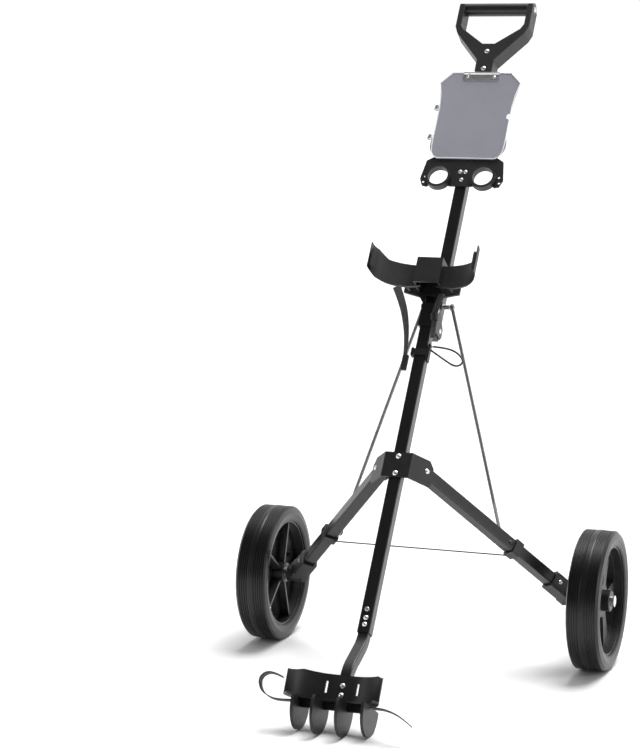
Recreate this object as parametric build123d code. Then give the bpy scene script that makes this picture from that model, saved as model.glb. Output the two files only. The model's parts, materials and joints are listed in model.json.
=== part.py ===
from build123d import *
import os
from math import sin, cos, tan, radians, degrees, pi, atan2

# Folding two-wheel golf push cart.  Millimetres, +X to the right, +Y towards the rear, +Z up.
# Everything is drawn with the wheel axle at Y = 0 and moved to its own origin at the end.
# Most pieces are drawn in the mast frame: x across, b behind the mast's centreline, s up the mast.

# ---------------------------------------------------------------- driving dimensions
WHEEL_D = 250.0            # tyre outside diameter, a 10 inch wheel
WHEEL_W = 60.0             # tyre width
TRACK = 619.0              # between the wheels' middle planes
LEAN = 55.0                # mast's angle from the ground, degrees
HUB_Y = -197.5             # leg hub on the mast's centreline, ahead of the axle
HUB_Z = 375.0              # and above the ground

TUBE = 22.0                # square tube, outside
TUBE_WALL = 1.5
TUBE_R = 2.5               # outside corner radius
SLIP = 0.3                 # clearance between tubes that fit inside each other

MAST_LOW = -303.0          # mast's lower end, along the mast from the hub
MAST_TOP = 396.0           # and its upper end
HANDLE_B = 33.0            # handle tube's centreline behind the mast's
PIVOT_S = 290.0            # handle's fold pivot, along the mast
HANDLE_LOW = 277.0         # handle tube's lower end
HANDLE_TOP = 905.0         # and its upper end, inside the D handle
HANDLE_FOLD = 166.0        # travel of the handle's fold, degrees

LEG_X = 37.0               # leg pivots, from the middle plane
LEG_B = 24.0               # and behind the mast's centreline
LEG_S = 8.0                # and up the mast from the hub
LEG_END_X = 262.0          # leg's axis at the axle, from the middle plane
LEG_FOLD = 56.0            # travel of each leg, degrees
ROD_D = 6.0                # brace rod
ROD_UP = 49.5              # rod's upper pin, up the handle tube from the fold pivot
ROD_X = 27.0               # and out from the middle plane
ROD_ALONG = 210.0          # rod's lower pin, down the leg from its pivot

AXLE_D = 12.0
AXLE_CLEAR = 0.05          # radial running clearance in the wheel's bush
RIVET_D = 6.0
RIVET_HOLE = RIVET_D / 2 + 0.05
RIVET_HEAD_D = 10.0
RIVET_HEAD_T = 2.0
PLATE_T = 2.5              # folded steel brackets
FOOT_Y = -532.0            # where the feet meet the ground
GAP = 0.3                  # running gap between moving pieces

# ---------------------------------------------------------------- frames and helpers
UP = Vector(0, cos(radians(LEAN)), sin(radians(LEAN)))
MAST = Plane(origin=(0, HUB_Y, HUB_Z), x_dir=(1, 0, 0), z_dir=UP)


def at_mast(shape):
    """Put a shape drawn as (x, b, s) in its place on the mast."""
    return MAST.location * shape


def world(x, b, s):
    """Place of a mast-frame point."""
    return MAST.from_local_coords(Vector(x, b, s))


def bar(x_size, y_size, z_size, x, y, z):
    """A block given by its size and its middle."""
    return Pos(x, y, z) * Box(x_size, y_size, z_size)


def square_tube(size, wall, low, high, radius=TUBE_R):
    """Hollow square tube along Z."""
    outer = RectangleRounded(size, size, radius)
    inner = RectangleRounded(size - 2 * wall, size - 2 * wall, max(radius - wall, 0.4))
    return Pos(0, 0, low) * extrude(outer - inner, high - low)


def rivet(length, head=RIVET_HEAD_D, shank=RIVET_D, both=True):
    """Domed rivet along Z: the first head's underside at 0, the far end at -length."""
    dome = 1.3 * head / 2
    disc = Pos(0, 0, RIVET_HEAD_T / 2) * Cylinder(head / 2, RIVET_HEAD_T)
    cap = Pos(0, 0, RIVET_HEAD_T - dome) * Sphere(dome) & disc
    body = Pos(0, 0, -length / 2) * Cylinder(shank / 2, length)
    whole = cap + body
    if both:
        whole += Pos(0, 0, -length) * Rot(180, 0, 0) * cap
    return whole


def facing(point, direction):
    """Location whose Z looks along a direction."""
    return Plane(origin=point, z_dir=direction).location


def leg_frame(side):
    """Frame of one leg: origin at its pivot, x along the pivot's axis, z down the leg."""
    top = world(side * LEG_X, LEG_B, LEG_S)
    end = Vector(side * LEG_END_X, 0, WHEEL_D / 2)
    along = (end - top).normalized()
    axis = along.cross(-UP).normalized()
    return Plane(origin=top, x_dir=axis, z_dir=along)


def leg_length(side=1):
    """From the leg's pivot to the axle's centreline."""
    top = world(side * LEG_X, LEG_B, LEG_S)
    return (Vector(side * LEG_END_X, 0, WHEEL_D / 2) - top).length


# ---------------------------------------------------------------- mast
SPLICE_S = (MAST_LOW + 26, MAST_LOW + 14)      # rivets that hold the lower tube
BUTTON_S = MAST_LOW + 40
HUB_RIVET_S = (-11.5, 20.5)
LOWER_SIZE = TUBE - 2 * TUBE_WALL - 2 * SLIP   # lower tube slides inside the mast
LOWER_TOP = MAST_LOW + 90
NECK_S = MAST_LOW - 16                         # where the lower tube bends forward
NECK_B = -45.0                                 # how far it steps forward
NECK_RUN = 66.0
FOOT_S = -447.0                                # lower tube's end
FOOT_B = NECK_B + 5
PLUG_T = 3.0


def main_tube():
    tube = square_tube(TUBE, TUBE_WALL, MAST_LOW, MAST_TOP)
    for s in HUB_RIVET_S + SPLICE_S:
        tube -= Pos(0, 0, s) * Rot(90, 0, 0) * Cylinder(RIVET_HOLE, 3 * TUBE)
    for s in HINGE_RIVET_S + CRADLE_RIVET_S:
        tube -= Pos(0, 0, s) * Rot(0, 90, 0) * Cylinder(RIVET_HOLE, 3 * TUBE)
    tube -= Pos(0, -TUBE / 2, BUTTON_S) * Rot(90, 0, 0) * Cylinder(BUTTON_D / 2 + GAP, TUBE)
    return at_mast(tube)


def tube_plug(size, wall, depth=14.0):
    """Moulded end plug: a head on the tube's end and a shank inside; the head's underside is at 0."""
    head = extrude(RectangleRounded(size, size, TUBE_R), PLUG_T)
    head = fillet(head.edges().group_by(Axis.Z)[-1], 1.2)
    shank_size = size - 2 * wall - 0.3
    shank = Pos(0, 0, -depth) * extrude(RectangleRounded(shank_size, shank_size, 1.2), depth)
    return head + shank


def lower_tube():
    path = FilletPolyline(
        (0, 0, LOWER_TOP), (0, 0, NECK_S), (0, NECK_B, NECK_S - NECK_RUN), (0, FOOT_B, FOOT_S), radius=60)
    profile = RectangleRounded(LOWER_SIZE, LOWER_SIZE, TUBE_R - 0.6)
    bore = RectangleRounded(LOWER_SIZE - 2 * TUBE_WALL, LOWER_SIZE - 2 * TUBE_WALL, 0.6)
    start = Plane(origin=(0, 0, LOWER_TOP), x_dir=(1, 0, 0), z_dir=(0, 0, -1))
    tube = sweep(start * profile, path=path) - sweep(start * bore, path=path)
    for s in SPLICE_S:
        tube -= Pos(0, 0, s) * Rot(90, 0, 0) * Cylinder(RIVET_HOLE, 3 * TUBE)
    tube -= Pos(0, -TUBE / 2, BUTTON_S) * Rot(90, 0, 0) * Cylinder(BUTTON_D / 2 + GAP, TUBE)
    tube = at_mast(tube)
    for u in BASE_RIVET_U:
        tube -= at_foot(Pos(0, 0, u) * Rot(90, 0, 0) * Cylinder(RIVET_HOLE, 3 * TUBE))
    return tube


BUTTON_D = 8.0
BUTTON_TRAVEL = 3.0
BUTTON_OUT = BUTTON_TRAVEL + 1.0               # how far the button stands out of the tube
BUTTON_FLANGE = 11.0
SPRING_T = 1.0


def snap_button():
    """Button of the splice's spring catch, with the flange that keeps it in the tube."""
    inner = -LOWER_SIZE / 2 + TUBE_WALL + GAP
    face = -TUBE / 2 - BUTTON_OUT
    stem = Pos(0, (inner + face) / 2, 0) * Rot(90, 0, 0) * Cylinder(BUTTON_D / 2, inner - face)
    stem = fillet(stem.edges().group_by(Axis.Y)[0], 1.2)
    flange = Pos(0, inner + 0.6, 0) * Rot(90, 0, 0) * Cylinder(BUTTON_FLANGE / 2, 1.2)
    return at_mast(Pos(0, 0, BUTTON_S) * (stem + flange))


def button_spring():
    """Leaf spring inside the lower tube, clear of the button's travel, held against its rear wall."""
    back = LOWER_SIZE / 2 - TUBE_WALL
    leaf = bar(9, SPRING_T, 44, 0, back - SPRING_T / 2, BUTTON_S + 14)
    curl = bar(9, back - 2, SPRING_T, 0, (back + 2) / 2, BUTTON_S + 36 + SPRING_T / 2)
    return at_mast(leaf + curl)


def mast_rivets():
    """Rivets through the mast: the leg hub's, the splice's, the handle hinge's and the cradle's."""
    solids = []
    for s in HUB_RIVET_S:
        front = -TUBE / 2 - PLATE_T
        solids.append(Pos(0, front, s) * Rot(90, 0, 0) * rivet(TUBE + PLATE_T))
    sideways = ((TUBE / 2 + CHEEK_GAP + CHEEK_T, HINGE_RIVET_S), (TUBE / 2 + CRADLE_WALL, CRADLE_RIVET_S))
    for half, places in sideways:
        for s in places:
            solids.append(Pos(half, 0, s) * Rot(0, 90, 0) * rivet(2 * half, head=8.5))
    for s in SPLICE_S:
        solids.append(Pos(0, -TUBE / 2, s) * Rot(90, 0, 0) * rivet(TUBE, head=8.5))
    return at_mast(Compound(solids))


# ---------------------------------------------------------------- leg hub
def wing_line(offset, reach):
    """Point on the leg's swing plane in (x, b): offset along the pivot's axis, reach outwards."""
    axis = leg_frame(1).x_dir
    ax = axis.dot(Vector(1, 0, 0))
    ab = axis.dot(MAST.y_dir)
    return (LEG_X + offset * ax + reach * ab, LEG_B + offset * ab - reach * ax)


CLEVIS = TUBE / 2 + GAP                        # wing's inner face from the leg's centreline
WING_OUT = 12.0
HUB_LOW = -19.0
HUB_HIGH = 28.0


def wing_bend():
    """x of the line where the front plate turns back into the wing."""
    inner = wing_line(-CLEVIS, 0)
    slope = wing_line(-CLEVIS, 1)
    dx = slope[0] - inner[0]
    db = slope[1] - inner[1]
    return inner[0] + dx * (-TUBE / 2 - inner[1]) / db


def front_half(side):
    near = wing_line(-CLEVIS - PLATE_T, WING_OUT)
    far = wing_line(-CLEVIS, WING_OUT)
    bend = wing_bend()
    outer_bend = bend + PLATE_T * tan(radians(25))
    points = [(0, -TUBE / 2 - PLATE_T), (outer_bend, -TUBE / 2 - PLATE_T), near, far, (bend, -TUBE / 2),
              (0, -TUBE / 2)]
    return make_face(Polyline([(side * x, b) for x, b in points], close=True))


def rear_half(side):
    """Rear wing: from the mast's side back past the leg's pivot."""
    near = wing_line(CLEVIS, WING_OUT)
    far = wing_line(CLEVIS + PLATE_T, WING_OUT)
    foot = wing_line(CLEVIS, -21)
    foot_far = wing_line(CLEVIS + PLATE_T, -21)
    face = make_face(Polyline([(side * p[0], p[1]) for p in (near, far, foot_far, foot)], close=True))
    strap = make_face(Polyline([(side * p[0], p[1]) for p in (
        foot, foot_far, (TUBE / 2 + PLATE_T, TUBE / 2), (TUBE / 2, TUBE / 2), (TUBE / 2, -4),
        (TUBE / 2 + PLATE_T, -4))], close=True))
    return face + strap


def wing_corners(side):
    """Blocks that cut the front wing's outer corners to a blunt tongue."""
    cuts = []
    x, b = wing_line(-CLEVIS, WING_OUT)
    for s, tilt in ((HUB_HIGH, -28), (HUB_LOW - 6, 28)):
        corner = Pos(side * x, b, s) * Rot(0, side * tilt, 0)
        cuts.append(corner * Pos(side * 16, 0, 0) * Box(40, 60, 70))
    return cuts


def hub_front():
    face = front_half(1) + front_half(-1)
    plate = Pos(0, 0, HUB_LOW) * extrude(face, HUB_HIGH - HUB_LOW)
    for side in (-1, 1):
        for corner in wing_corners(side):
            plate -= corner
    for s in HUB_RIVET_S:
        plate -= Pos(0, 0, s) * Rot(90, 0, 0) * Cylinder(RIVET_HOLE, 3 * TUBE)
    for side in (-1, 1):
        local = MAST.location.inverse() * leg_frame(side).location
        plate -= local * Rot(0, 90, 0) * Cylinder(RIVET_D / 2 + AXLE_CLEAR, 3 * TUBE)
    return at_mast(plate)


def hub_rear(side):
    low = LEG_S - WING_OUT
    high = LEG_S + WING_OUT
    plate = Pos(0, 0, low) * extrude(rear_half(side), high - low)
    local = MAST.location.inverse() * leg_frame(side).location
    plate -= local * Rot(0, 90, 0) * Cylinder(RIVET_D / 2 + AXLE_CLEAR, 3 * TUBE)
    return at_mast(plate)


def leg_pivot_rivet(side):
    span = 2 * (CLEVIS + PLATE_T)
    pin = Pos(span / 2, 0, 0) * Rot(0, 90, 0) * rivet(span)
    return leg_frame(side).location * pin


# ---------------------------------------------------------------- handle hinge
CHEEK_T = 2.5
CHEEK_GAP = 0.3
HINGE_RIVET_S = (PIVOT_S + 8, PIVOT_S + 24)


def hinge_cheek_shape():
    """Side view of a cheek plate in (b, s)."""
    low = PIVOT_S - 13
    high = PIVOT_S + 33
    outline = Polyline(
        (-TUBE / 2, low), (HANDLE_B + 8, low), (HANDLE_B + 13, low + 6), (HANDLE_B + 13, PIVOT_S + 8),
        (TUBE / 2 + 2, high), (-TUBE / 2, high), close=True)
    return make_face(outline)


def hinge_bracket():
    """Folded channel round the mast's front and sides, whose cheeks carry the handle's pivot."""
    to_side = Plane(origin=(0, 0, 0), x_dir=(0, 1, 0), z_dir=(1, 0, 0))
    cheek = extrude(to_side * hinge_cheek_shape(), CHEEK_T)
    shift = TUBE / 2 + CHEEK_GAP
    low = PIVOT_S - 13
    high = PIVOT_S + 33
    web = bar(2 * (shift + CHEEK_T), CHEEK_T, high - low, 0, -TUBE / 2 - CHEEK_T / 2, (low + high) / 2)
    shape = Pos(shift, 0, 0) * cheek + Pos(-shift - CHEEK_T, 0, 0) * cheek + web
    shape -= Pos(0, HANDLE_B, PIVOT_S) * Rot(0, 90, 0) * Cylinder(RIVET_D / 2 + AXLE_CLEAR, 4 * TUBE)
    for s in HINGE_RIVET_S:
        shape -= Pos(0, 0, s) * Rot(0, 90, 0) * Cylinder(RIVET_HOLE, 4 * TUBE)
    return at_mast(shape)


def handle_pivot_pin():
    half = TUBE / 2 + CHEEK_GAP + CHEEK_T
    return at_mast(Pos(half, HANDLE_B, PIVOT_S) * Rot(0, 90, 0) * rivet(2 * half))


# ---------------------------------------------------------------- cradle for the bag's upper end
CRADLE_LOW = 341.0
CRADLE_HIGH = 391.0
CRADLE_WALL = 4.0
BLOCK_FRONT = -58.0        # bag stop's face, ahead of the mast
BLOCK_HALF = 24.0
ARM_HALF = 97.0            # arms' tips, across
ARM_TIP_B = -102.0          # and ahead of the mast
CRADLE_RIVET_S = (350.0, 371.0)
PAD_T = 5.0
PAD_CLEAR = -0.3


def cradle():
    """Moulded cradle: socket round the mast, hollow bag stop and two curved arms."""
    height = CRADLE_HIGH - CRADLE_LOW
    socket = bar(TUBE + 2 * CRADLE_WALL, TUBE + CRADLE_WALL, height + 8, 0, -CRADLE_WALL / 2, 0)
    socket = Pos(0, 0, (CRADLE_LOW + CRADLE_HIGH) / 2) * socket
    depth = -TUBE / 2 - BLOCK_FRONT
    block = bar(2 * BLOCK_HALF, depth, height, 0, BLOCK_FRONT + depth / 2, (CRADLE_LOW + CRADLE_HIGH) / 2)
    step = bar(2 * BLOCK_HALF * 0.62, depth * 0.55, 8, 3, -TUBE / 2 - depth * 0.28, CRADLE_HIGH + 4)
    hollow = bar(2 * BLOCK_HALF - 7, depth - 8, height, 0, 0, 0)
    hollow = Pos(0, BLOCK_FRONT + depth / 2, CRADLE_LOW + height / 2 - 5) * hollow
    body = socket + block + step - hollow
    for side in (-1, 1):
        body += arm(side)
    body -= Pos(0, 0, CRADLE_LOW - 30) * extrude(RectangleRounded(TUBE + 0.1, TUBE + 0.1, TUBE_R), 120)
    for s in CRADLE_RIVET_S:
        body -= Pos(0, 0, s) * Rot(0, 90, 0) * Cylinder(RIVET_HOLE, 4 * TUBE)
    return at_mast(body)


def arm_line(side, inset):
    """Plan of one arm's face in (x, b), set back by an inset."""
    return [(side * BLOCK_HALF * 0.6, BLOCK_FRONT + 14 + inset), (side * 62, -50 + inset),
            (side * (84 - inset * 0.4), -64 + inset), (side * (ARM_HALF + inset * 0.35), ARM_TIP_B)]


def arm(side):
    """One arm: a curved wall that reaches forward, taller at its tip."""
    wall = 5.0
    front = arm_line(side, 0)
    back = arm_line(side, wall)
    edge = Spline(front)
    rear = Spline(back)
    face = make_face(edge + Line(front[-1], back[-1]) + rear + Line(back[0], front[0]))
    low = CRADLE_LOW - 6
    high = CRADLE_HIGH + 18
    wall_solid = Pos(0, 0, low) * extrude(face, high - low)
    side_view = Polyline(
        (side * 10, CRADLE_LOW), (side * 50, CRADLE_LOW - 4), (side * 76, CRADLE_LOW - 4),
        (side * 92, CRADLE_LOW - 2), (side * 106, CRADLE_LOW + 8), (side * 112, CRADLE_HIGH + 1),
        (side * 92, CRADLE_HIGH + 3), (side * 76, CRADLE_HIGH - 8), (side * 10, CRADLE_HIGH - 10), close=True)
    view = Plane(origin=(0, 100, 0), x_dir=(1, 0, 0), z_dir=(0, -1, 0))
    cutter = extrude(view * make_face(side_view), 300)
    gusset = Polyline(
        (side * 10, CRADLE_LOW - 17), (side * 15, CRADLE_LOW - 17), (side * 21, CRADLE_LOW - 8),
        (side * 52, CRADLE_LOW), (side * 52, CRADLE_LOW + 14), (side * 10, CRADLE_LOW + 20), close=True)
    back = Plane(origin=(0, -TUBE / 2, 0), x_dir=(1, 0, 0), z_dir=(0, -1, 0))
    rib = extrude(back * make_face(gusset), 5)
    rib += bar(4, 30, 14, side * 40, -TUBE / 2 - 17, CRADLE_LOW + 7)
    return (wall_solid & cutter) + rib


def cradle_pad(side):
    """Soft pad on the inner face of an arm's tip."""
    tip = arm_line(side, 0)[-1]
    root = arm_line(side, 0)[-2]
    run = Vector(tip[0] - root[0], tip[1] - root[1])
    across = Vector(run.Y, -run.X).normalized() * (side * PAD_T)
    start = Vector(*root) + run * 0.45 + across * (PAD_CLEAR / PAD_T + 0.5)
    end = Vector(*root) + run * 0.95 + across * (PAD_CLEAR / PAD_T + 0.5)
    middle = (start + end) * 0.5
    angle = degrees(atan2(run.Y, run.X))
    low = CRADLE_LOW + 6
    high = CRADLE_HIGH - 8
    slab = Box((end - start).length, PAD_T, high - low)
    pad = Pos(middle.X, middle.Y, (low + high) / 2) * Rot(0, 0, angle) * slab
    return at_mast(fillet(pad.edges(), 1.5))


# ---------------------------------------------------------------- base bracket for the bag's lower end
FOOT = Plane(
    origin=world(0, FOOT_B, FOOT_S), x_dir=(1, 0, 0),
    z_dir=world(0, NECK_B, NECK_S - NECK_RUN) - world(0, FOOT_B, FOOT_S))
BASE_HALF = 82.0           # wall's ends, across
BASE_END_F = -58.0         # and ahead of the lower tube's centreline
BASE_T = 3.5
BASE_WALL_H = 52.0
SHELF_DEPTH = 34.0
FIN_T = 5.0
FIN_R = 40.0
FINS = ((-60.0, 14.0), (-21.0, 0.0), (21.0, 0.0), (60.0, 14.0))   # each foot's x, and how far it sits back
BASE_RIVET_U = (18.0, 34.0)


def at_foot(shape):
    """Put a shape drawn as (x, f, u) on the lower tube's end: f behind its centreline, u up it."""
    return FOOT.location * shape


def wall_line(forward):
    """Plan of the base's curved wall in (x, f), moved forward."""
    front = -LOWER_SIZE / 2
    half = [(0, front - forward), (24, front - forward), (56, front - 12 - forward * 0.9),
            (BASE_HALF - forward * 0.25, BASE_END_F - forward * 0.3)]
    return [(-x, f) for x, f in reversed(half[1:])] + half


def base_bracket():
    """Curved wall that hugs the bag's base, on a shallow shelf of the same curve."""
    front = Spline(wall_line(BASE_T))
    rear = Spline(wall_line(0))
    wall_face = make_face(front + rear + Line(front @ 0, rear @ 0) + Line(front @ 1, rear @ 1))
    wall = extrude(wall_face, BASE_WALL_H)
    lip = Spline(wall_line(SHELF_DEPTH))
    shelf_face = make_face(lip + rear + Line(lip @ 0, rear @ 0) + Line(lip @ 1, rear @ 1))
    body = wall + extrude(shelf_face, BASE_T)
    view = Plane(origin=(0, 60, 0), x_dir=(1, 0, 0), z_dir=(0, -1, 0))
    for side in (-1, 1):
        top = BASE_WALL_H + 1
        corner = Polyline((side * 62, top), (side * 100, top), (side * 100, 34), close=True)
        body -= extrude(view * make_face(corner), 200)
        body -= bar(4, 80, 20, side * 27, -20, 30)
    body -= bar(LOWER_SIZE + 2, LOWER_SIZE, 4 * BASE_WALL_H, 0, 0, 0)
    for u in BASE_RIVET_U:
        body -= Pos(0, 0, u) * Rot(90, 0, 0) * Cylinder(RIVET_HOLE, 3 * TUBE)
    return at_foot(body)


def base_fins():
    """Four rounded feet under the shelf, tied together by a spine."""
    body = bar(2 * FINS[-1][0], 5, 12, 0, -LOWER_SIZE / 2 - 22, -6)
    for x, back in FINS:
        centre = FOOT.to_local_coords(Vector(0, FOOT_Y + back, FIN_R))
        disc = Pos(x, centre.Y, centre.Z) * Rot(0, 90, 0) * Cylinder(FIN_R, FIN_T)
        above = bar(3 * FIN_T, 6 * FIN_R, 4 * FIN_R, x, centre.Y, 2 * FIN_R)
        behind = bar(3 * FIN_T, 2 * FIN_R, 6 * FIN_R, x, LOWER_SIZE / 2 + FIN_R, 0)
        body += disc - above - behind
    return at_foot(body)


def base_rivets():
    solids = []
    for u in BASE_RIVET_U:
        solids.append(Pos(0, -LOWER_SIZE / 2 - BASE_T, u) * Rot(90, 0, 0) * rivet(LOWER_SIZE + BASE_T))
    return at_foot(Compound(solids))


def lower_tube_plug():
    plug = Rot(180, 0, 0) * tube_plug(LOWER_SIZE, TUBE_WALL)
    return at_foot(plug)


# ---------------------------------------------------------------- handle
GRIP_S = 991.0
GRIP_HALF = 72.0
GRIP_H = 25.0
ARM_T = 10.0
STEM_LOW = 838.0
STEM_RIVET_S = (845.0, 884.0)
STEM_HALF = 17.0
STEM_DEPTH = 34.0


def handle_tube():
    tube = Pos(0, HANDLE_B, 0) * square_tube(TUBE, TUBE_WALL, HANDLE_LOW, HANDLE_TOP)
    tube -= Pos(0, HANDLE_B, PIVOT_S) * Rot(0, 90, 0) * Cylinder(RIVET_D / 2 + AXLE_CLEAR, 3 * TUBE)
    tube -= Pos(0, HANDLE_B, PIVOT_S + ROD_UP) * Rot(0, 90, 0) * Cylinder(ROD_PIN_D / 2 + 0.05, 3 * TUBE)
    for x, s in CONSOLE_RIVETS:
        tube -= Pos(x, BOARD_B, s) * Rot(90, 0, 0) * Cylinder(2.05, 2 * TUBE_WALL + 1)
    for s in STEM_RIVET_S:
        tube -= Pos(0, HANDLE_B, s) * Rot(90, 0, 0) * Cylinder(RIVET_HOLE, 3 * TUBE)
    return at_mast(tube)


def d_handle():
    """Moulded D handle: sleeve over the tube, splayed arms and two upright ends for the grip bar."""
    top = GRIP_S + 4
    outer = GRIP_HALF + 1
    inner = GRIP_HALF - ARM_T
    right = [(STEM_HALF, STEM_LOW), (STEM_HALF, 866), (outer - 6, 927), (outer, 942), (outer, top),
             (inner, top), (inner, 947), (inner - 6, 936), (12, 902)]
    left = [(-x, s) for x, s in reversed(right)]
    outline = Polyline(right + left, close=True)
    view = Plane(origin=(0, HANDLE_B + STEM_DEPTH / 2, 0), x_dir=(1, 0, 0), z_dir=(0, -1, 0))
    body = extrude(view * make_face(outline), STEM_DEPTH)
    body = fillet(body.edges().filter_by(Axis.Y), 3.0)
    body = chamfer(body.edges().group_by(Axis.Y)[0], 1.2)
    sleeve = Pos(0, HANDLE_B, STEM_LOW - 1) * extrude(
        RectangleRounded(TUBE + 0.1, TUBE + 0.1, TUBE_R), HANDLE_TOP - STEM_LOW + 1.2)
    body -= sleeve
    body -= Pos(0, HANDLE_B, GRIP_S) * Rot(0, 90, 0) * Cylinder(GRIP_H / 2 + 0.05, 4 * GRIP_HALF)
    for s in STEM_RIVET_S:
        body -= Pos(0, HANDLE_B, s) * Rot(90, 0, 0) * Cylinder(RIVET_HOLE, 3 * TUBE)
    return at_mast(body)


def handle_grip():
    """Grip bar that lies in the arms' forked ends."""
    width = 2 * (GRIP_HALF + 1)
    grip = Rot(0, 90, 0) * Cylinder(GRIP_H / 2, width)
    grip = fillet(grip.edges(), 1.5)
    grip -= Rot(0, 90, 0) * Cylinder(4.1, 2 * width)
    return at_mast(Pos(0, HANDLE_B, GRIP_S) * grip)


def grip_bolt():
    """Through bolt of the grip with a domed head at each end."""
    reach = GRIP_HALF + 1
    bolt = Pos(reach, HANDLE_B, GRIP_S) * Rot(0, 90, 0) * rivet(2 * reach, head=13, shank=8)
    return at_mast(bolt)


def stem_rivets():
    front = HANDLE_B - STEM_DEPTH / 2
    solids = [Pos(0, front, s) * Rot(90, 0, 0) * rivet(STEM_DEPTH) for s in STEM_RIVET_S]
    return at_mast(Compound(solids))


ROD_PIN_D = 10.0
OPEN_GAP = 1.7             # room at the rod's upper pivot, where its eye tilts as the cart folds


def handle_rod_bosses():
    """Pin through the handle tube whose bosses face the eyes of the two brace rods."""
    s = PIVOT_S + ROD_UP
    face = ROD_X - ROD_EYE_T / 2 - OPEN_GAP
    pin = Pos(0, HANDLE_B, s) * Rot(0, 90, 0) * Cylinder(ROD_PIN_D / 2, 2 * face)
    return pin


# ---------------------------------------------------------------- score card console
BOARD_B = HANDLE_B - TUBE / 2
TRAY_T = 3.0
RING_X = 43.0
RING_S = 602.0
RING_OUT = 24.0
RING_IN = 19.0
RING_DEPTH = 14.0
CONSOLE_RIVETS = ((0.0, 600.0), (-5.0, 617.0), (5.0, 617.0))


def console_tray():
    """Plate on the front of the handle tube with two ball holders and tee holes."""
    outline = Polyline(
        (-74, 586), (-64, 584), (-58, 594), (-20, 586), (20, 586), (58, 594), (64, 584), (74, 586), (80, 600),
        (74, 640), (58, 650), (56, 812), (38, 824), (-38, 824), (-56, 812), (-58, 650), (-74, 640),
        (-80, 600), close=True)
    view = Plane(origin=(0, BOARD_B, 0), x_dir=(1, 0, 0), z_dir=(0, -1, 0))
    plate = extrude(view * make_face(outline), TRAY_T)
    plate = fillet(plate.edges().filter_by(Axis.Y), 2.5)
    for x in (-RING_X, RING_X):
        ring = Pos(x, BOARD_B - RING_DEPTH / 2, RING_S) * Rot(90, 0, 0) * Cylinder(RING_OUT, RING_DEPTH)
        plate += ring
    for x in (-RING_X, RING_X):
        plate -= Pos(x, BOARD_B, RING_S) * Rot(90, 0, 0) * Cylinder(RING_IN, 40)
    for x, s in ((-73, 594), (-71, 606), (71, 606), (73, 594)):
        plate -= Pos(x, BOARD_B, s) * Rot(90, 0, 0) * Cylinder(2.4, 40)
    for x, s in CONSOLE_RIVETS:
        plate -= Pos(x, BOARD_B, s) * Rot(90, 0, 0) * Cylinder(2.05, 40)
    return at_mast(plate)


def console_rivets():
    solids = []
    for x, s in CONSOLE_RIVETS:
        pin = rivet(TRAY_T + 1.4, head=8, shank=4, both=False)
        solids.append(Pos(x, BOARD_B - TRAY_T, s) * Rot(90, 0, 0) * pin)
    return at_mast(Compound(solids))


BOARD_T = 2.5
BOARD_GAP = 0.2
BOARD_FRONT = BOARD_B - TRAY_T - BOARD_GAP


def score_board():
    """Clear score card cover with waisted sides and cut corners."""
    corners = [(58, 835), (79, 812), (71, 757), (71, 690), (69, 657), (56, 644)]
    right = [(x, s) for x, s in corners]
    left = [(-x, s) for x, s in reversed(corners)]
    top = Line(left[-1], right[0])
    bottom = Line(right[-1], left[0])
    edges = [top, Line(right[0], right[1]), Spline(right[1:4]), Spline(right[3:]), bottom]
    edges += [Spline(left[:3]), Spline(left[2:5]), Line(left[4], left[5])]
    view = Plane(origin=(0, BOARD_FRONT, 0), x_dir=(1, 0, 0), z_dir=(0, -1, 0))
    board = extrude(view * make_face(Wire(edges)), BOARD_T)
    notch = Pos(70, BOARD_FRONT, 738) * Rot(90, 0, 0) * Cylinder(7, 20)
    return at_mast(board - notch)


CLIP_S = 824.0
CLIP_RIVET_X = (-26, 26)


def board_clip():
    """Sprung clip across the board's top edge."""
    face = BOARD_FRONT - BOARD_T - GAP
    plate = bar(70, 1.5, 14, 0, face - 0.75, CLIP_S)
    lip = Pos(0, face - 2.2, CLIP_S + 8) * Rot(0, 90, 0) * Cylinder(2.2, 70)
    clip = plate + lip
    for x in CLIP_RIVET_X:
        clip -= Pos(x, face, CLIP_S) * Rot(90, 0, 0) * Cylinder(1.55, 8)
    return at_mast(clip)


def clip_rivets():
    face = BOARD_FRONT - BOARD_T - GAP - 1.5
    pin = Rot(90, 0, 0) * rivet(1.4, head=6, shank=3, both=False)
    solids = [Pos(x, face, CLIP_S) * pin for x in CLIP_RIVET_X]
    return at_mast(Compound(solids))


def pencil_clips():
    """Two spring clips on the board's left edge, which hold a pencil."""
    solids = []
    for x, s in ((-73.15, 755), (-74.6, 690)):
        clip = Pos(x - 2.5, BOARD_FRONT - BOARD_T / 2, s) * (Cylinder(4.5, 9) - Cylinder(3.3, 12))
        clip -= bar(6, 4, 12, x - 7, BOARD_FRONT - BOARD_T / 2 - 3, s)
        solids.append(clip)
    return at_mast(Compound(solids))


# ---------------------------------------------------------------- legs
BLOCK_SIZE = TUBE + 9          # axle block's sleeve, outside
ROD_EYE_T = 4.0
ROD_EYE_D = 13.0
ROD_PIN_R = 3.0
HEAD_CLEAR = 0.15         # the pin isn't quite square to the leg, so its head stands off by this
EYE_CLEAR = 0.5            # play of the rod's lower eye on its pin, which lets it swivel a little
CABLE_D = 3.0
CABLE_ALONG = 226.0
CABLE_CLEAR = 9.0          # keeps the cable's flat end off the collar


def leg_tube(side):
    length = leg_length(side)
    tube = square_tube(TUBE, TUBE_WALL, -13, length - 16)
    tube -= Rot(0, 90, 0) * Cylinder(RIVET_D / 2 + AXLE_CLEAR, 3 * TUBE)
    tube -= Pos(0, 0, length - 42) * Rot(0, 90, 0) * Cylinder(RIVET_HOLE, 3 * TUBE)
    pin = facing(rod_points(side)[1], rod_pin_axis(side))
    return leg_frame(side).location * tube - pin * Cylinder(ROD_PIN_R + 0.05, 3 * TUBE)


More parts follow.
